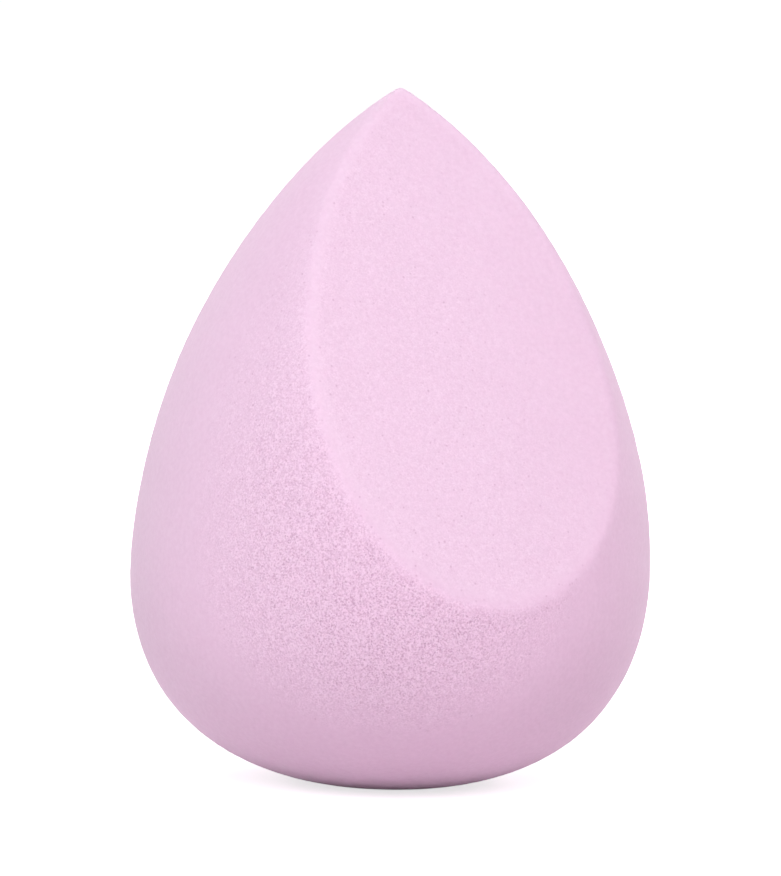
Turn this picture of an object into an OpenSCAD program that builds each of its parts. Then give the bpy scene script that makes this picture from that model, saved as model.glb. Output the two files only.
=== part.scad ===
// Bevelled makeup sponge, one piece of soft foam: a round teardrop with one side
// cut flat from the tip down. It stands on its foot, +Z runs up the teardrop's
// axis and the bevel looks towards -Y. Lengths are in millimetres.

/* [Teardrop] */
// Height of the uncut teardrop's tip above the table
drop_h = 60.2; // [52:0.1:70]
// Diameter of the belly, the widest ring
belly_d = 45; // [38:0.5:52]
// Height of the belly's ring above the table
belly_z = 18.2; // [15:0.1:22]
// Depth by which the round underside is cut flat where it rests
foot_cut = 0.5; // [0.2:0.1:1]

/* [Bevel] */
// Slope of the bevel's face from the table, in degrees
bevel_slope = 62.2; // [56:0.2:68]
// Distance below the teardrop's tip at which the face meets the axis
bevel_drop = 0.2; // [0.1:0.1:3]
// Width that the rounded rim takes from the face all round
rim_w = 0.7; // [0.3:0.1:1.2]
// Depth of the rounded rim below the face
rim_depth = 0.5; // [0.2:0.1:0.8]

/* [Curve] */
// Length of the flank's handle at the belly, as a share of the flank's height
flank_share = 0.37; // [0.2:0.01:0.5]
// Sideways reach of the tip's handle, as a share of the belly's radius
tip_reach_share = 0.58; // [0.4:0.01:0.8]
// Drop of the tip's handle, as a share of the flank's height
tip_drop_share = 0.19; // [0.1:0.01:0.4]
// Length of the underside's handle on the axis, as a share of the belly's radius
under_share = 0.89; // [0.5:0.01:0.95]
// Length of the underside's handle at the belly, as a share of the underside's height
side_share = 0.32; // [0.2:0.01:0.6]

/* [Fineness] */
// Facets round the teardrop
facets = 80; // [48:4:96]
// Rings of facets from the belly to the tip
flank_rings = 24; // [16:1:30]
// Rings of facets from the axis to the belly on the underside
under_rings = 14; // [10:1:18]
// Steps across the rounded rim
rim_steps = 3; // [2:1:4]

/* [Hidden] */
foam = [0.96, 0.83, 0.92];
belly_r = belly_d / 2;
flank_h = drop_h - belly_z;
under_h = belly_z + foot_cut;
bevel_z = drop_h - bevel_drop;
slice_t = rim_depth / 5;
waste_h = rim_depth / 5;
waste_inset = 2 * rim_w;
// Reach of the cutting blocks across the whole foam
cut_reach = drop_h + belly_d;
right_angle = 90;

// A point of a cubic curve through its two ends, drawn by its two handles
function cubic(p, t) =
    pow(1 - t, 3) * p[0] + 3 * pow(1 - t, 2) * t * p[1]
    + 3 * (1 - t) * pow(t, 2) * p[2] + pow(t, 3) * p[3];

function curve(p, steps) = [for (i = [0:steps]) cubic(p, i / steps)];

// The underside leaves the axis level and meets the belly upright
underside = curve([
    [0, -foot_cut],
    [under_share * belly_r, -foot_cut],
    [belly_r, belly_z - side_share * under_h],
    [belly_r, belly_z]
], under_rings);

// The flank leaves the belly upright and leans in to the tip
flank = curve([
    [belly_r, belly_z],
    [belly_r, belly_z + flank_share * flank_h],
    [tip_reach_share * belly_r, drop_h - tip_drop_share * flank_h],
    [0, drop_h]
], flank_rings);

module teardrop() {
    rotate_extrude($fn = facets)
        polygon(concat(underside, [for (i = [1:flank_rings]) flank[i]]));
}

// Moves a shape drawn flat onto the bevel's face, with its +Z out of the foam
module on_bevel() {
    translate([0, 0, bevel_z]) rotate([bevel_slope, 0, 0]) children();
}

// The foam's outline at a depth below the face, drawn flat
module outline_at(depth) {
    projection(cut = true)
        translate([0, 0, depth])
            rotate([-bevel_slope, 0, 0]) translate([0, 0, -bevel_z]) teardrop();
}

// A block that takes away everything above a depth below the face
module above_bevel(depth) {
    on_bevel() translate([-cut_reach, -cut_reach, -depth])
        cube([2 * cut_reach, 2 * cut_reach, cut_reach]);
}

// A thin slice of the foam whose top lies at a depth below the face
module slice(depth, inset) {
    on_bevel() translate([0, 0, -depth - slice_t])
        linear_extrude(height = slice_t) offset(delta = -inset) outline_at(depth);
}

// The rim's slices narrow along a quarter ellipse, which starts in line with the
// flank and ends level with the face
module rim() {
    for (i = [0:rim_steps - 1]) {
        angle = right_angle * i / rim_steps;
        slice(rim_depth * (1 - cos(angle)), rim_w * (1 - sin(angle)));
    }
}

// A low boss inside the rim, which the last cut takes off to leave the face true
module waste() {
    on_bevel() linear_extrude(height = waste_h)
        offset(delta = -rim_w - waste_inset) outline_at(0);
}

module foam_body() {
    color(foam)
        difference() {
            hull() {
                difference() {
                    teardrop();
                    above_bevel(rim_depth);
                }
                rim();
                waste();
            }
            above_bevel(0);
            // The foot's flat, where the foam rests
            translate([-cut_reach, -cut_reach, -cut_reach])
                cube([2 * cut_reach, 2 * cut_reach, cut_reach]);
        }
}

foam_body();
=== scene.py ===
import logging
import math
from dataclasses import dataclass, field
from enum import Enum
from functools import cached_property
from typing import Any

import bmesh
import bpy
import numpy as np
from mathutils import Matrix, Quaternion, Vector, geometry


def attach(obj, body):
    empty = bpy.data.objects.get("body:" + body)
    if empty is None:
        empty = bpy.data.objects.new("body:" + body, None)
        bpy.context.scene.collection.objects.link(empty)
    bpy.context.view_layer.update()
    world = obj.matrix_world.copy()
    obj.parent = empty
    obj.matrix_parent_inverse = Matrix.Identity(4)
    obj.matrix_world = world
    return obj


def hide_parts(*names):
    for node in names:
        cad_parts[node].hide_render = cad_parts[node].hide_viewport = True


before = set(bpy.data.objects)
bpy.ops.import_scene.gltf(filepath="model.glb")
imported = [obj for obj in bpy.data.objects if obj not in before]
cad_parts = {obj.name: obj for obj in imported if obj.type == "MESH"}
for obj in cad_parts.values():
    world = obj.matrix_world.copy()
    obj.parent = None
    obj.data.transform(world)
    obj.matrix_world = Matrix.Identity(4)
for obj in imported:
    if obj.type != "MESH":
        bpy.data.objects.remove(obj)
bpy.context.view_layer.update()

LOG = logging.getLogger("sponge")
UP = Vector((0.0, 0.0, 1.0))
MM = 0.001
# Shorter than anything that shows
TINY = 0.001 * MM
# Middle of a value that goes from 0 to 1
HALF = 0.5
WHITE = (1.0, 1.0, 1.0, 1.0)
Triple = tuple[float, float, float]
Colour = tuple[float, float, float, float]
# Each point's distance outside a form, and its gradient
Measure = tuple[np.ndarray, np.ndarray]


# Shader maths


class Wire:
    """An output socket of a shader node, on which sums are written as Python."""

    def __init__(self, bench: "Bench", socket: bpy.types.NodeSocket | None) -> None:
        """Keeps the socket and the bench that its node stands on."""
        self.bench = bench
        self.socket = socket

    def __add__(self, other: "Number") -> "Wire":
        """Adds a value or wire."""
        return self.bench.maths("ADD", self, other)

    def __sub__(self, other: "Number") -> "Wire":
        """Takes a value or wire away."""
        return self.bench.maths("SUBTRACT", self, other)

    def __mul__(self, other: "Number") -> "Wire":
        """Multiplies by a value or wire."""
        return self.bench.maths("MULTIPLY", self, other)

    def __radd__(self, other: float) -> "Wire":
        """Adds to a plain value."""
        return self.bench.maths("ADD", other, self)

    def __rsub__(self, other: float) -> "Wire":
        """Is taken away from a plain value."""
        return self.bench.maths("SUBTRACT", other, self)

    def __rmul__(self, other: float) -> "Wire":
        """Multiplies a plain value."""
        return self.bench.maths("MULTIPLY", other, self)

    def larger(self, other: "Number") -> "Wire":
        """Keeps the larger of this and a value or wire."""
        return self.bench.maths("MAXIMUM", self, other)

    def sibling(self, name: str) -> "Wire":
        """Gives another output of the same node, by its name."""
        return Wire(self.bench, self.socket.node.outputs[name])

    def slope(self, start: float, end: float) -> "Wire":
        """Rises in a straight line from 0 at start to 1 at end, and stays between them."""
        return self._step("LINEAR", start, end)

    def ramp(self, start: float, end: float) -> "Wire":
        """Rises smoothly from 0 at start to 1 at end, and stays between them."""
        return self._step("SMOOTHSTEP", start, end)

    def _step(self, kind: str, start: float, end: float) -> "Wire":
        """Maps a range of values to 0 to 1.

        Args:
            kind: Blender's name for the shape of the step.
            start: Value at which the result is 0.
            end: Value at which the result is 1, which may be the smaller one.

        Returns:
            The step, held between 0 and 1.
        """
        low, high, first, last = start, end, 0.0, 1.0
        if start > end:
            low, high, first, last = end, start, 1.0, 0.0
        return self.bench.node(
            "ShaderNodeMapRange",
            {"interpolation_type": kind},
            {"Value": self, "From Min": low, "From Max": high, "To Min": first, "To Max": last},
        )


Number = Wire | float


class Bench:
    """The node tree of one material or world, with one way to add each node."""

    # Numbers of a Mix node's colour sockets, whose names its other sockets have too
    MIX_FIRST = 6
    MIX_SECOND = 7
    MIX_RESULT = 2

    def __init__(self, tree: bpy.types.NodeTree) -> None:
        """Clears the tree and keeps it."""
        self.tree = tree
        tree.nodes.clear()

    def node(
        self,
        kind: str,
        settings: dict[str, Any] | None = None,
        inputs: dict[str | int, Any] | None = None,
        output: str | int = 0,
    ) -> Wire:
        """Adds a node, sets it up and fills its sockets.

        Args:
            kind: Blender's name for the type of node.
            settings: Its own settings, which go in before the sockets.
            inputs: Values or wires by the socket's name or number.
            output: Name or number of the output that is wanted.

        Returns:
            That output, or a wire from nowhere for a node that has none.
        """
        made = self.tree.nodes.new(kind)
        for name, value in (settings or {}).items():
            setattr(made, name, value)
        for name, value in (inputs or {}).items():
            if isinstance(value, Wire):
                self.tree.links.new(value.socket, made.inputs[name])
            else:
                made.inputs[name].default_value = value
        return Wire(self, made.outputs[output] if len(made.outputs) else None)

    def maths(self, operation: str, first: Number, second: Number) -> Wire:
        """Adds a Math node on two values or wires.

        Args:
            operation: Name of the sum.
            first: Left side.
            second: Right side.

        Returns:
            The result.
        """
        return self.node("ShaderNodeMath", {"operation": operation}, {0: first, 1: second})

    def mix(self, share: Number, first: Any, second: Any) -> Wire:
        """Blends two colours.

        Args:
            share: How much of the second colour shows, from 0 to 1.
            first: Colour or wire that shows at 0.
            second: Colour or wire that shows at 1.

        Returns:
            The blended colour.
        """
        return self.node(
            "ShaderNodeMix",
            {"data_type": "RGBA"},
            {0: share, self.MIX_FIRST: first, self.MIX_SECOND: second},
            self.MIX_RESULT,
        )


# The form of the foam


@dataclass(frozen=True)
class Teardrop:
    """Side view of the uncut foam: two cubic curves that meet at the belly."""

    height: float = 60.3 * MM
    belly_radius: float = 22.52 * MM
    belly_height: float = 18.2 * MM
    foot_cut: float = 0.5 * MM
    foot_round: float = 6 * MM
    flank_share: float = 0.365
    tip_reach_share: float = 0.588
    tip_drop_share: float = 0.196
    under_share: float = 0.896
    side_share: float = 0.308

    def outline(self, steps: int) -> list[Vector]:
        """Gives the side view from the underside's middle over the belly to the tip.

        Args:
            steps: Points on each of its two curves.

        Returns:
            Points in the XZ plane.
        """
        rise = self.height - self.belly_height
        sink = self.belly_height + self.foot_cut
        reach = self.under_share * self.belly_radius
        lean = self.tip_reach_share * self.belly_radius
        belly = Vector((self.belly_radius, 0, self.belly_height))
        under = geometry.interpolate_bezier(
            Vector((0, 0, -self.foot_cut)),
            Vector((reach, 0, -self.foot_cut)),
            belly - UP * self.side_share * sink,
            belly,
            steps,
        )
        flank = geometry.interpolate_bezier(
            belly,
            belly + UP * self.flank_share * rise,
            Vector((lean, 0, self.height - self.tip_drop_share * rise)),
            Vector((0, 0, self.height)),
            steps,
        )
        return under + flank[1:]


@dataclass(frozen=True)
class Bevel:
    """The flat working face, cut slantwise from the tip down, and its rounded rim."""

    slope: float = math.radians(62.2)
    crossing: float = 60.25 * MM
    tip_round: float = 0.27 * MM
    rim_round: float = 1.35 * MM
    round_reach: float = 22 * MM
    skin_fade: float = 0.65 * MM
    skin_inset: float = 0.09
    rim_inset: float = 0.2
    rim_widths: tuple[float, float] = (0.8 * MM, 0.8 * MM)
    # How far the highlight painted along the rim's upper left reaches over the face and over
    # the skin
    highlight_widths: tuple[float, float] = (0.9 * MM, 2.5 * MM)

    @property
    def normal(self) -> Vector:
        """Direction that the face looks in."""
        return Vector((0, -math.sin(self.slope), math.cos(self.slope)))

    @property
    def point(self) -> Vector:
        """Where the face meets the teardrop's axis."""
        return UP * self.crossing


@dataclass(frozen=True)
class Unevenness:
    """How far the soft moulded foam strays from the true teardrop."""

    heights: tuple[float, ...] = (0.0, 8 * MM, 16 * MM, 26 * MM, 38 * MM, 50 * MM, 60 * MM)
    sway: tuple[float, ...] = (
        0.04 * MM, -0.16 * MM, -0.14 * MM, 0.06 * MM, 0.03 * MM, 0.17 * MM, 0.13 * MM
    )
    direction: Triple = (0.897, -0.441, 0.0)
    pitch: float = 1.1 * MM
    pitch_shares: tuple[float, float] = (0.6, 1.8)
    depth: float = 0.006 * MM
    foot_calm: float = 0.3 * MM
    waves: int = 96
    seed: int = 7

    def shift(self, points: np.ndarray) -> np.ndarray:
        """Gives the sideways lean of the foam at each point.

        Args:
            points: Places, one a row.

        Returns:
            A move for each point.
        """
        amount = np.interp(points[:, 2], self.heights, self.sway)
        return amount[:, None] * np.array(self.direction)

    def relief(self, points: np.ndarray) -> np.ndarray:
        """Gives the height of the fine, even ripple of open foam at each point.

        Args:
            points: Places, one a row.

        Returns:
            A height for each point, out of the surface, which fades to 0 at the table.
        """
        dice = np.random.default_rng(self.seed)
        turns = dice.normal(size=(self.waves, 3))
        turns /= np.linalg.norm(turns, axis=1, keepdims=True)
        turns *= 2 * math.pi / (self.pitch * dice.uniform(*self.pitch_shares, (self.waves, 1)))
        phases = dice.uniform(0, 2 * math.pi, self.waves)
        total = np.zeros(len(points))
        for turn, phase in zip(turns, phases):
            total += np.cos(points @ turn + phase)
        lift = np.clip(points[:, 2] / self.foot_calm, 0, 1)
        return self.depth * total * math.sqrt(2 / self.waves) * lift


class SoftForm:
    """Depth of any point against the finished foam, whose edges are all rounded."""

    def __init__(self, drop: Teardrop, bevel: Bevel, fineness: int = 400) -> None:
        """Tabulates the teardrop as seen from its middle.

        Args:
            drop: The uncut teardrop.
            bevel: The face that cuts it.
            fineness: Points on each curve of the table.
        """
        self.bevel = bevel
        self.foot_round = drop.foot_round
        self.middle = drop.belly_height
        side = np.array([(p.x, p.z) for p in drop.outline(fineness)])
        along = np.gradient(side, axis=0)
        along /= np.linalg.norm(along, axis=1, keepdims=True)
        self.outward = np.stack([along[:, 1], -along[:, 0]], axis=1)
        self.angle = np.arctan2(side[:, 1] - self.middle, side[:, 0])
        self.reach = np.hypot(side[:, 0], side[:, 1] - self.middle)

    def teardrop(self, points: np.ndarray) -> Measure:
        """Measures points against the uncut teardrop, whose tip is a little blunt.

        Args:
            points: Places, one a row.

        Returns:
            Each point's distance outside the surface, and its gradient.
        """
        radius = np.hypot(points[:, 0], points[:, 1])
        blunt = np.sqrt(radius**2 + self.bevel.tip_round**2)
        rise = points[:, 2] - self.middle
        angle = np.arctan2(rise, blunt)
        out = [np.interp(angle, self.angle, self.outward[:, i]) for i in range(2)]
        facing = out[0] * np.cos(angle) + out[1] * np.sin(angle)
        depth = (np.hypot(blunt, rise) - np.interp(angle, self.angle, self.reach)) * facing
        spread = out[0] / blunt
        return depth, np.stack([points[:, 0] * spread, points[:, 1] * spread, out[1]], axis=1)

    def face(self, points: np.ndarray) -> np.ndarray:
        """Gives each point's height above the plane of the cut face."""
        return (points - np.array(self.bevel.point)) @ np.array(self.bevel.normal)

    def skin(self, points: np.ndarray) -> np.ndarray:
        """Tells the moulded skin from the cut face.

        Args:
            points: Places on the surface, one a row.

        Returns:
            1 on the skin and 0 on the face, with a soft change at the rim.
        """
        past = self._past_rim(points) + self.bevel.skin_inset * self.rounding(points)
        return self._smooth(HALF + HALF * past / self.bevel.skin_fade)

    def rim(self, points: np.ndarray, widths: tuple[float, float]) -> np.ndarray:
        """Marks a band along the rounded rim.

        Args:
            points: Places on the surface, one a row.
            widths: How far the band reaches over the face and over the skin.

        Returns:
            1 along the rim, which falls smoothly to 0 at both widths.
        """
        past = self._past_rim(points) + self.bevel.rim_inset * self.rounding(points)
        return self._smooth(1 - np.abs(past) / np.where(past < 0, *widths))

    def rounding(self, points: np.ndarray) -> np.ndarray:
        """Gives the radius of the rim, which is small at the tip and grows below it."""
        share = self._smooth((self.bevel.crossing - points[:, 2]) / self.bevel.round_reach)
        return self.bevel.tip_round + (self.bevel.rim_round - self.bevel.tip_round) * share

    def _past_rim(self, points: np.ndarray) -> np.ndarray:
        """Gives each point's distance past the rim: over 0 on the skin, under 0 on the face."""
        return self.teardrop(points)[0] - self.face(points)

    @staticmethod
    def _smooth(share: np.ndarray) -> np.ndarray:
        """Eases a share in and out, and holds it between 0 and 1."""
        share = np.clip(share, 0, 1)
        return share * share * (3 - 2 * share)

    @staticmethod
    def join(first: Measure, second: Measure, radius: np.ndarray | float) -> Measure:
        """Cuts one form with another and rounds the edge between them.

        Args:
            first: Distance and gradient of one form.
            second: Distance and gradient of the other.
            radius: Radius of the rounded edge.

        Returns:
            Distance and gradient of what both forms hold.
        """
        straight = np.sum(first[1] * second[1], axis=1) / (
            np.linalg.norm(first[1], axis=1) * np.linalg.norm(second[1], axis=1)
        )
        half = np.arccos(np.clip(straight, -1, 1)) / 2
        width = np.maximum(4 * radius * (1 - np.cos(half)), TINY)
        share = np.clip(HALF + HALF * (first[0] - second[0]) / width, 0, 1)
        depth = second[0] + (first[0] - second[0]) * share + width * share * (1 - share)
        return depth, second[1] + (first[1] - second[1]) * share[:, None]

    def depth(self, points: np.ndarray) -> Measure:
        """Measures points against the finished foam.

        Args:
            points: Places, one a row.

        Returns:
            Each point's distance outside the surface, and its gradient.
        """
        face = self.face(points), np.tile(np.array(self.bevel.normal), (len(points), 1))
        foot = -points[:, 2], np.tile(np.array(-UP), (len(points), 1))
        cut = self.join(self.teardrop(points), face, self.rounding(points))
        return self.join(cut, foot, self.foot_round)

    def settle(self, points: np.ndarray, rounds: int = 6) -> tuple[np.ndarray, np.ndarray]:
        """Moves points straight onto the finished foam's surface.

        Args:
            points: Places near the surface, one a row.
            rounds: How many times the move is made finer.

        Returns:
            The places on the surface, and the surface's direction at each.
        """
        for _ in range(rounds):
            depth, slope = self.depth(points)
            points = points - (depth / np.sum(slope**2, axis=1))[:, None] * slope
        slope = self.depth(points)[1]
        return points, slope / np.linalg.norm(slope, axis=1, keepdims=True)


# The finish of the foam


class Mark(Enum):
    """What the mesh tells its material about each point, by the attribute's name."""

    SKIN = "moulded_skin"
    RIM = "rounded_rim"
    # Band along the rim on which a highlight is painted
    HIGHLIGHT = "painted_rim_highlight"


@dataclass(frozen=True)
class Spread:
    """A value that rises from low to high along one direction across the foam."""

    direction: Triple
    start: float
    end: float
    low: float = 0.0
    high: float = 1.0

    def level(self, bench: Bench, place: Wire) -> Wire:
        """Works out the value at a point.

        Args:
            bench: The material's nodes.
            place: Where the point lies on the piece.

        Returns:
            The value there.
        """
        along = bench.node(
            "ShaderNodeVectorMath",
            {"operation": "DOT_PRODUCT"},
            {0: place, 1: self.direction},
            "Value",
        )
        return self.low + (self.high - self.low) * along.slope(self.start, self.end)


@dataclass(frozen=True)
class Noise:
    """Soft random blots of one width, with finer layers on them."""

    width: float
    layers: float
    roughness: float = 0.55

    def level(self, bench: Bench, place: Wire) -> Wire:
        """Works out the noise at a point.

        Args:
            bench: The material's nodes.
            place: Where the point lies on the piece.

        Returns:
            A value about 0.
        """
        noise = bench.node(
            "ShaderNodeTexNoise",
            {},
            {
                "Vector": place,
                "Scale": 1 / self.width,
                "Detail": self.layers,
                "Roughness": self.roughness,
            },
        )
        return noise - HALF


@dataclass(frozen=True)
class Cells:
    """Random cells of one width, which fill the foam."""

    width: float

    def near(self, bench: Bench, place: Wire) -> tuple[Wire, Wire]:
        """Finds the cell that a point lies in.

        Args:
            bench: The material's nodes.
            place: Where the point lies on the piece.

        Returns:
            The distance from the cell's middle, in widths of a cell, and a chance value
            from 0 to 1 that each cell has for itself.
        """
        distance = bench.node(
            "ShaderNodeTexVoronoi",
            {"feature": "F1"},
            {"Vector": place, "Scale": 1 / self.width, "Randomness": 1.0},
            "Distance",
        )
        colour = distance.sibling("Color")
        return distance, bench.node("ShaderNodeSeparateColor", {}, {"Color": colour})


@dataclass(frozen=True)
class FoamFinish:
    """Open-celled pale pink foam, matt and soft, whose cells show as a fine grain.

    A tone of 0 is the deep colour and 1 the pale one, and each field that ends in tone
    says how much a pattern adds to it. The grain's strength comes from the fields that
    end in grain or calm. Light and shade are painted in too: a paler rim with a stronger
    highlight at its upper left, and tints that shade the skin and the face's right side.
    """

    pale: Triple = (0.99, 0.735, 0.915)
    deep: Triple = (0.745, 0.465, 0.655)
    # Painted light and shade: the skin goes from a greyer pink at the upper left back to a
    # redder, brighter pink at the lower right front, as the light falls. Both tints also keep
    # the skin a little darker than the cut face.
    skin_tints_and_light: tuple[Colour, Colour] = ((0.922, 0.911, 0.928, 1.0), (0.955, 0.882, 0.929, 1.0))
    skin_painted_light: Spread = Spread((0.53, -0.70, -0.48), -22 * MM, 12 * MM)
    # Painted shade: the cut face darkens a little towards its right side, where less light
    # falls
    face_shade_tints: tuple[Colour, Colour] = (WHITE, (0.979, 0.960, 0.970, 1.0))
    face_painted_shade: Spread = Spread((0.98, 0.0, -0.2), -5 * MM, 10 * MM)
    middle: float = 0.6
    cells: Cells = Cells(0.18 * MM)
    cell_tone: float = 0.4
    pit_reach: tuple[float, float] = (0.75, 0.1)
    pit_middle: float = 0.35
    pit_tone: float = 0.4
    pit_height: float = 1.0
    fine: Noise = Noise(0.16 * MM, 1.0)
    fine_tone: float = 3.0
    fine_height: float = 2.5
    patch: Noise = Noise(0.8 * MM, 2.0)
    patch_tone: float = 0.12
    patchiness: float = 1.6
    blot: Noise = Noise(0.4 * MM, 2.0)
    blot_tone: float = 0.4
    mottle: Noise = Noise(9 * MM, 3.0)
    mottle_tone: float = 0.1
    pore_cells: Cells = Cells(0.65 * MM)
    pore_radius: float = 0.15 * MM
    pore_tone: float = 0.75
    pore_level: float = 0.2
    rim_calm: float = 0.8
    # Painted highlight: the whole rounded rim is a little paler, and its upper left paler
    # still, where the key light catches it
    rim_highlight_tone: float = 0.035
    painted_rim_highlight: Spread = Spread((-0.6, 0.0, 0.8), 24 * MM, 38 * MM, 0.0, 0.12)
    skin_grain: Spread = Spread((-0.427, -0.874, 0.230), 19.25 * MM, 24.6 * MM, 0.02, 1.2)
    skin_calm: Spread = Spread((0.0, 0.0, 1.0), 8 * MM, 40 * MM, 1.0, 0.37)
    back_grain: Spread = Spread((0.44, 0.898, 0.0), 2 * MM, 14 * MM, 0.0, 0.6)
    face_grain: Spread = Spread((-0.965, 0.0, -0.264), -20 * MM, -8.5 * MM, 0.02, 0.23)
    relief: float = 0.05 * MM
    roughness: float = 0.92
    refraction: float = 1.35
    scatter: float = 0.25
    scatter_reach: float = 1.0 * MM
    scatter_colours: Triple = (1.0, 0.75, 0.9)
    sheen: float = 0.12
    sheen_roughness: float = 0.6

    def material(self) -> bpy.types.Material:
        """Makes the foam's material, which reads the marks of skin and rim from the mesh.

        Returns:
            The material.
        """
        made = bpy.data.materials.new("soft_pink_foam")
        made.use_nodes = True
        bench = Bench(made.node_tree)
        place = bench.node("ShaderNodeTexCoord", output="Object")
        skin, rim, glow = (
            bench.node("ShaderNodeAttribute", {"attribute_name": mark.value}, output="Fac")
            for mark in (Mark.SKIN, Mark.RIM, Mark.HIGHLIGHT)
        )
        grain, height = self._grain(bench, place, skin, rim)
        # Painted highlight along the rim, strongest at its upper left
        painted_highlight = self.rim_highlight_tone * rim + self.painted_rim_highlight.level(bench, place) * glow
        bump = bench.node(
            "ShaderNodeBump",
            {},
            {"Strength": 1.0, "Distance": self.relief, "Height": height},
        )
        surface = bench.node(
            "ShaderNodeBsdfPrincipled",
            {"subsurface_method": "RANDOM_WALK"},
            {
                "Base Color": self._colour(bench, place, grain + painted_highlight, skin),
                "Roughness": self.roughness,
                "IOR": self.refraction,
                "Subsurface Weight": self.scatter,
                "Subsurface Radius": self.scatter_colours,
                "Subsurface Scale": self.scatter_reach,
                "Sheen Weight": self.sheen,
                "Sheen Roughness": self.sheen_roughness,
                "Normal": bump,
            },
        )
        bench.node("ShaderNodeOutputMaterial", {}, {"Surface": surface})
        return made

    def _colour(self, bench: Bench, place: Wire, tone: Wire, skin: Wire) -> Wire:
        """Turns the tone into the foam's colour, with painted light and shade on the skin and
        painted shade towards the face's right side.

        Args:
            bench: The material's nodes.
            place: Where a point lies on the piece.
            tone: 0 for the deep colour to 1 for the pale one.
            skin: 1 on the moulded skin and 0 on the cut face.

        Returns:
            The colour.
        """
        foam = bench.mix(tone, (*self.deep, 1.0), (*self.pale, 1.0))
        # Painted shade towards the face's right side, and painted light and shade across the
        # skin
        face_shade_tint = bench.mix(self.face_painted_shade.level(bench, place), *self.face_shade_tints)
        skin_tint_and_light = bench.mix(self.skin_painted_light.level(bench, place), *self.skin_tints_and_light)
        return bench.node(
            "ShaderNodeVectorMath",
            {"operation": "MULTIPLY"},
            {0: foam, 1: bench.mix(skin, face_shade_tint, skin_tint_and_light)},
        )

    def _grain(self, bench: Bench, place: Wire, skin: Wire, rim: Wire) -> tuple[Wire, Wire]:
        """Draws the foam's grain, blots and pores.

        Args:
            bench: The material's nodes.
            place: Where a point lies on the piece.
            skin: 1 on the moulded skin and 0 on the cut face.
            rim: 1 along the rounded rim.

        Returns:
            The tone and the height of the grain.
        """
        fine, patch, blot, mottle = (
            noise.level(bench, place)
            for noise in (self.fine, self.patch, self.blot, self.mottle)
        )
        pit, chance = self._pits(bench, place)
        level = self._level(bench, place, skin)
        strength = level * (1.0 - self.rim_calm * rim) * (1.0 + self.patchiness * patch)
        grain = (
            self.cell_tone * (chance - HALF)
            + self.fine_tone * fine
            + self.patch_tone * patch
            - self.pit_tone * (pit - self.pit_middle)
        )
        even = self.blot_tone * blot + self.mottle_tone * mottle
        pores = self.pore_tone * level.slope(0.0, self.pore_level) * self._pores(bench, place)
        height = self.fine_height * fine - self.pit_height * pit
        return self.middle + strength * grain + even - pores, height * strength

    def _level(self, bench: Bench, place: Wire, skin: Wire) -> Wire:
        """Works out how strong the grain is on each side of the sponge.

        Args:
            bench: The material's nodes.
            place: Where a point lies on the piece.
            skin: 1 on the moulded skin and 0 on the cut face.

        Returns:
            The grain's strength, 0 for none.
        """
        front = self.skin_grain.level(bench, place) * self.skin_calm.level(bench, place)
        back = self.back_grain.level(bench, place)
        face = self.face_grain.level(bench, place)
        return (front + back) * skin + face * (1.0 - skin)

    def _pits(self, bench: Bench, place: Wire) -> tuple[Wire, Wire]:
        """Draws the foam's open cells.

        Args:
            bench: The material's nodes.
            place: Where a point lies on the piece.

        Returns:
            The pit of each cell, up to 1 in its middle and 0 on its walls, and a chance
            value from 0 to 1 that each cell has for itself.
        """
        near, chance = self.cells.near(bench, place)
        return near.ramp(*self.pit_reach) * chance, chance.sibling("Green")

    def _pores(self, bench: Bench, place: Wire) -> Wire:
        """Draws the few cells that opened wide and look like small dark dots.

        Args:
            bench: The material's nodes.
            place: Where a point lies on the piece.

        Returns:
            Up to 1 in the middle of a dot, by its chance value, and 0 between the dots.
        """
        near, chance = self.pore_cells.near(bench, place)
        return near.ramp(self.pore_radius / self.pore_cells.width, 0.0) * chance


# The piece


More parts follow.
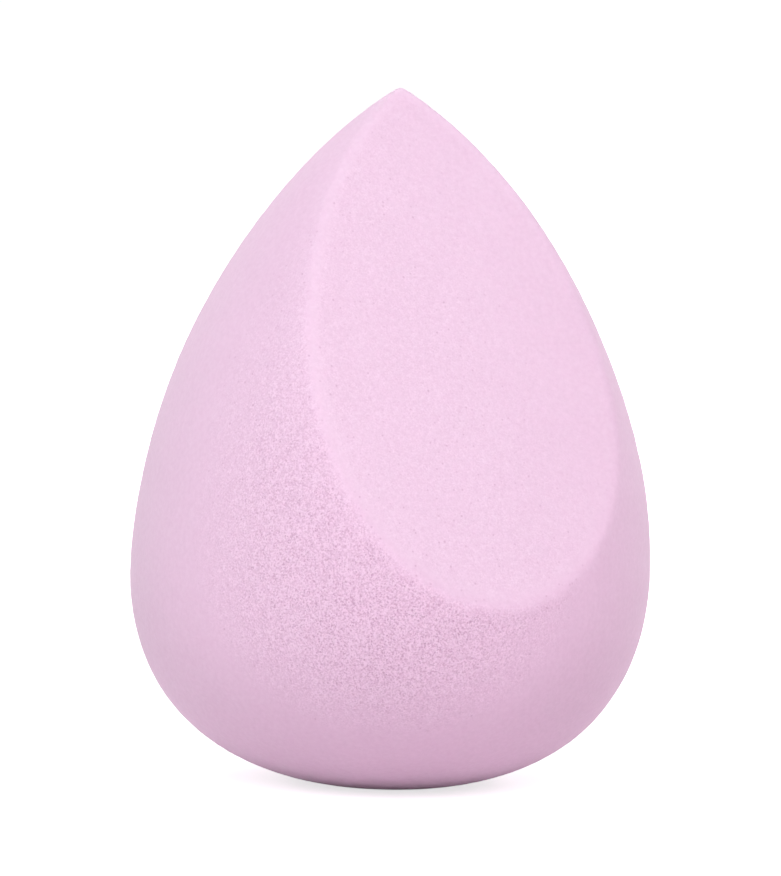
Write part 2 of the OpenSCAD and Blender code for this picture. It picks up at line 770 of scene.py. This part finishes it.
@dataclass
class FoamSponge:
    """The whole sponge, one piece of soft foam."""

    drop: Teardrop = field(default_factory=Teardrop)
    bevel: Bevel = field(default_factory=Bevel)
    uneven: Unevenness = field(default_factory=Unevenness)
    finish: FoamFinish = field(default_factory=FoamFinish)
    sides: int = 96
    curve_steps: int = 40
    weld: float = 0.01 * MM
    cell: float = 0.22 * MM
    tip_part: float = 1.5 * MM
    tip_divisions: int = 2

    @cached_property
    def form(self) -> SoftForm:
        """The finished foam's surface as a sum."""
        return SoftForm(self.drop, self.bevel)

    def build(self) -> bpy.types.Object:
        """Turns, cuts and softens the foam.

        Returns:
            The sponge, at the origin.
        """
        piece = bpy.data.objects.new("sponge_foam", self._turned())
        bpy.context.collection.objects.link(piece)
        self._knit(piece)
        self._refine_tip(piece.data)
        self._soften(piece.data)
        return piece

    def dress(self, piece: bpy.types.Object) -> None:
        """Args:
            piece: The built sponge.
        """
        piece.data.materials.append(self.finish.material())
        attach(piece, "root")
        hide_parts("foam_body")

    def _turned(self) -> bpy.types.Mesh:
        """Spins the side view into a teardrop and cuts the bevel and the foot flat.

        Returns:
            The cut teardrop, with sharp edges.
        """
        bm = bmesh.new()
        points = [bm.verts.new(p) for p in self.drop.outline(self.curve_steps)]
        edges = [bm.edges.new(pair) for pair in zip(points, points[1:])]
        bmesh.ops.spin(
            bm,
            geom=points + edges,
            cent=(0, 0, 0),
            axis=UP,
            angle=2 * math.pi,
            steps=self.sides,
            use_merge=True,
        )
        bmesh.ops.remove_doubles(bm, verts=bm.verts, dist=self.weld)
        self._cut(bm, self.bevel.point, self.bevel.normal)
        self._cut(bm, Vector(), -UP)
        bmesh.ops.recalc_face_normals(bm, faces=bm.faces)
        mesh = bpy.data.meshes.new("sponge_foam")
        bm.to_mesh(mesh)
        bm.free()
        return mesh

    @staticmethod
    def _cut(bm: bmesh.types.BMesh, point: Vector, normal: Vector) -> None:
        """Slices off what lies beyond a plane and closes the cut.

        Args:
            bm: The mesh that is cut.
            point: A point of the plane.
            normal: Direction of the side that goes.
        """
        bmesh.ops.bisect_plane(
            bm,
            geom=[*bm.verts, *bm.edges, *bm.faces],
            dist=TINY,
            plane_co=point,
            plane_no=normal,
            clear_outer=True,
        )
        rim = [e for e in bm.edges if e.is_boundary]
        bmesh.ops.holes_fill(bm, edges=rim, sides=0)

    def _knit(self, piece: bpy.types.Object) -> None:
        """Gives the foam an even, fine mesh.

        Args:
            piece: The cut sponge, whose mesh is replaced.
        """
        knit = piece.modifiers.new("even_mesh", "REMESH")
        knit.mode = "VOXEL"
        knit.voxel_size = self.cell
        knit.use_smooth_shade = True
        graph = bpy.context.evaluated_depsgraph_get()
        fine = bpy.data.meshes.new_from_object(piece.evaluated_get(graph))
        piece.modifiers.clear()
        piece.data = fine
        fine.name = "sponge_foam"

    def _refine_tip(self, mesh: bpy.types.Mesh) -> None:
        """Divides the mesh further at the tip, where whole cells would cut the point short.

        Args:
            mesh: The fine mesh.
        """
        bm = bmesh.new()
        bm.from_mesh(mesh)
        low = self.drop.height - self.tip_part
        for _ in range(self.tip_divisions):
            near = [e for e in bm.edges if max(v.co.z for v in e.verts) > low]
            bmesh.ops.subdivide_edges(bm, edges=near, cuts=1, use_grid_fill=True)
        bm.to_mesh(mesh)
        bm.free()

    def _soften(self, mesh: bpy.types.Mesh) -> None:
        """Lays every point on the rounded form, and adds the foam's own unevenness.

        Args:
            mesh: The fine mesh.
        """
        flat = np.empty(len(mesh.vertices) * 3, np.float32)
        mesh.vertices.foreach_get("co", flat)
        points, outward = self.form.settle(flat.reshape(-1, 3).astype(float))
        for mark, values in (
            (Mark.SKIN, self.form.skin(points)),
            (Mark.RIM, self.form.rim(points, self.bevel.rim_widths)),
            # The band on which the rim's highlight is painted
            (Mark.HIGHLIGHT, self.form.rim(points, self.bevel.highlight_widths)),
        ):
            layer = mesh.attributes.new(mark.value, "FLOAT", "POINT")
            layer.data.foreach_set("value", values.astype(np.float32))
        points = points + outward * self.uneven.relief(points)[:, None]
        points = points + self.uneven.shift(points)
        mesh.vertices.foreach_set("co", points.astype(np.float32).ravel())
        mesh.update()
        LOG.info("foam mesh: %d points, %d faces", len(mesh.vertices), len(mesh.polygons))


# The studio


class Lamp(Enum):
    """The soft boxes of the studio, by where each stands."""

    KEY = "high_key"
    FRONT = "near_front"
    LEFT = "left"
    LEFT_BACK = "left_back"
    LEFT_HIGH = "high_left"
    RIGHT = "right"
    RIGHT_BACK = "right_back"
    BACK = "back"


@dataclass(frozen=True)
class SoftBox:
    """One square soft box with white light that looks at the sponge."""

    role: Lamp
    azimuth: float
    elevation: float
    strength: float
    size: float = 0.5
    distance: float = 0.9

    def build(self, target: Vector) -> bpy.types.Object:
        """Makes the lamp.

        Args:
            target: What it looks at.

        Returns:
            The lamp's object.
        """
        data = bpy.data.lights.new(self.role.value, "AREA")
        data.shape = "SQUARE"
        data.size = self.size
        data.energy = self.strength
        lamp = bpy.data.objects.new(self.role.value, data)
        bpy.context.collection.objects.link(lamp)
        back = direction(self.azimuth, self.elevation)
        lamp.location = target + back * self.distance
        lamp.rotation_mode = "QUATERNION"
        lamp.rotation_quaternion = (-back).to_track_quat("-Z", "Y")
        return lamp


def direction(azimuth: float, elevation: float) -> Vector:
    """Gives the direction from the sponge to something round it.

    Args:
        azimuth: Degrees round the sponge, 0 in front of the bevel and 90 on its +X side.
        elevation: Degrees above the table.

    Returns:
        A direction of length 1.
    """
    a, e = math.radians(azimuth), math.radians(elevation)
    return Vector((math.sin(a) * math.cos(e), -math.cos(a) * math.cos(e), math.sin(e)))


@dataclass(frozen=True)
class Studio:
    """A plain pale table, a white surround, soft boxes and the camera."""

    boxes: tuple[SoftBox, ...] = (
        SoftBox(Lamp.KEY, -26.3, 50, 3.87),
        SoftBox(Lamp.FRONT, -26.3, 30, 0.89, size=0.3, distance=0.45),
        SoftBox(Lamp.LEFT, -126.3, 15, 1.62),
        SoftBox(Lamp.LEFT_BACK, -166.3, 15, 1.29),
        SoftBox(Lamp.LEFT_HIGH, -176.3, 50, 1.0),
        SoftBox(Lamp.RIGHT, 73.7, 15, 0.67),
        SoftBox(Lamp.RIGHT_BACK, 113.7, 15, 3.5),
        SoftBox(Lamp.BACK, 153.7, 45, 1.9),
    )
    ambient: Colour = (0.02, 0.02, 0.02, 1.0)
    target: Vector = Vector((0, 0, 30 * MM))
    camera_azimuth: float = -26.13
    camera_elevation: float = 5.47
    camera_distance: float = 0.600
    camera_roll: float = 0.96
    aim: tuple[float, float] = (-0.255 * MM, -0.2 * MM)
    lens: float = 284.95
    clips: tuple[float, float] = (0.01, 10.0)
    floor_size: float = 2.4
    floor_sides: int = 96
    floor_colour: Colour = (0.85, 0.85, 0.85, 1.0)
    glow_near: float = 0.7
    glow_reach: tuple[float, float] = (50 * MM, 130 * MM)

    def build(self) -> None:
        """Makes the floor, the surround, the lamps and the camera."""
        self._surround()
        self._floor()
        for box in self.boxes:
            box.build(self.target)
            LOG.info("soft box: %s", box.role.value)
        self._camera()

    def _camera(self) -> None:
        """Puts the camera where the photograph's stood."""
        data = bpy.data.cameras.new("camera")
        data.lens = self.lens
        data.clip_start, data.clip_end = self.clips
        camera = bpy.data.objects.new("camera", data)
        bpy.context.collection.objects.link(camera)
        back = direction(self.camera_azimuth, self.camera_elevation)
        turn = Quaternion((0, 0, 1), math.radians(self.camera_roll))
        level = (-back).to_track_quat("-Z", "Y") @ turn
        camera.location = self.target + back * self.camera_distance
        sight = self.target + level @ Vector((*self.aim, 0)) - camera.location
        camera.rotation_mode = "QUATERNION"
        camera.rotation_quaternion = sight.to_track_quat("-Z", "Y") @ turn
        bpy.context.scene.camera = camera

    def _floor(self) -> bpy.types.Object:
        """Makes the table top, a plain disc.

        Returns:
            The table top's object.
        """
        bm = bmesh.new()
        bmesh.ops.create_circle(
            bm,
            cap_ends=True,
            segments=self.floor_sides,
            radius=self.floor_size,
        )
        mesh = bpy.data.meshes.new("table")
        bm.to_mesh(mesh)
        bm.free()
        floor = bpy.data.objects.new("table", mesh)
        bpy.context.collection.objects.link(floor)
        mesh.materials.append(self._floor_finish())
        return floor

    def _floor_finish(self) -> bpy.types.Material:
        """Makes the table's pale finish, which the camera sees as white with a soft shadow.

        Returns:
            The material.
        """
        made = bpy.data.materials.new("pale_table")
        made.use_nodes = True
        bench = Bench(made.node_tree)
        seen = self._seen(bench)
        place = bench.node("ShaderNodeTexCoord", output="Object")
        away = bench.node("ShaderNodeVectorMath", {"operation": "LENGTH"}, {0: place}, "Value")
        far = away.ramp(*self.glow_reach)
        white = seen * (self.glow_near + (1.0 - self.glow_near) * far)
        matt = bench.node("ShaderNodeBsdfDiffuse", {}, {"Color": self.floor_colour})
        glow = bench.node("ShaderNodeEmission", {}, {"Color": WHITE, "Strength": white})
        both = bench.node("ShaderNodeAddShader", {}, {0: matt, 1: glow})
        bench.node("ShaderNodeOutputMaterial", {}, {"Surface": both})
        return made

    @staticmethod
    def _seen(bench: Bench) -> Wire:
        """Marks the rays that show the background, straight, mirrored or through glass.

        Args:
            bench: Nodes of the material or world.

        Returns:
            1 for those rays and 0 for light that falls on the sponge.
        """
        straight, mirrored, through = (
            bench.node("ShaderNodeLightPath", output=name)
            for name in ("Is Camera Ray", "Is Glossy Ray", "Is Transmission Ray")
        )
        return straight.larger(mirrored).larger(through)

    def _surround(self) -> None:
        """Makes the white surround, which also gives a plain even light."""
        world = bpy.data.worlds.new("surround")
        bpy.context.scene.world = world
        world.use_nodes = True
        bench = Bench(world.node_tree)
        seen = self._seen(bench)
        light = bench.node("ShaderNodeBackground", {}, {"Color": self.ambient, "Strength": 1.0})
        white = bench.node("ShaderNodeBackground", {}, {"Color": WHITE, "Strength": 1.0})
        both = bench.node("ShaderNodeMixShader", {}, {0: seen, 1: light, 2: white})
        bench.node("ShaderNodeOutputWorld", {}, {"Surface": both})


def main() -> None:
    """Builds the sponge and the studio, and notes the size of the foam's mesh."""
    logging.basicConfig(level=logging.INFO, format="%(name)s: %(message)s")
    scene = bpy.context.scene
    scene.view_settings.view_transform = "Standard"
    sponge = FoamSponge()
    piece = sponge.build()
    sponge.dress(piece)
    LOG.info("sponge: dressed in %s", piece.data.materials[0].name)
    Studio().build()


if __name__ == "__main__":
    main()
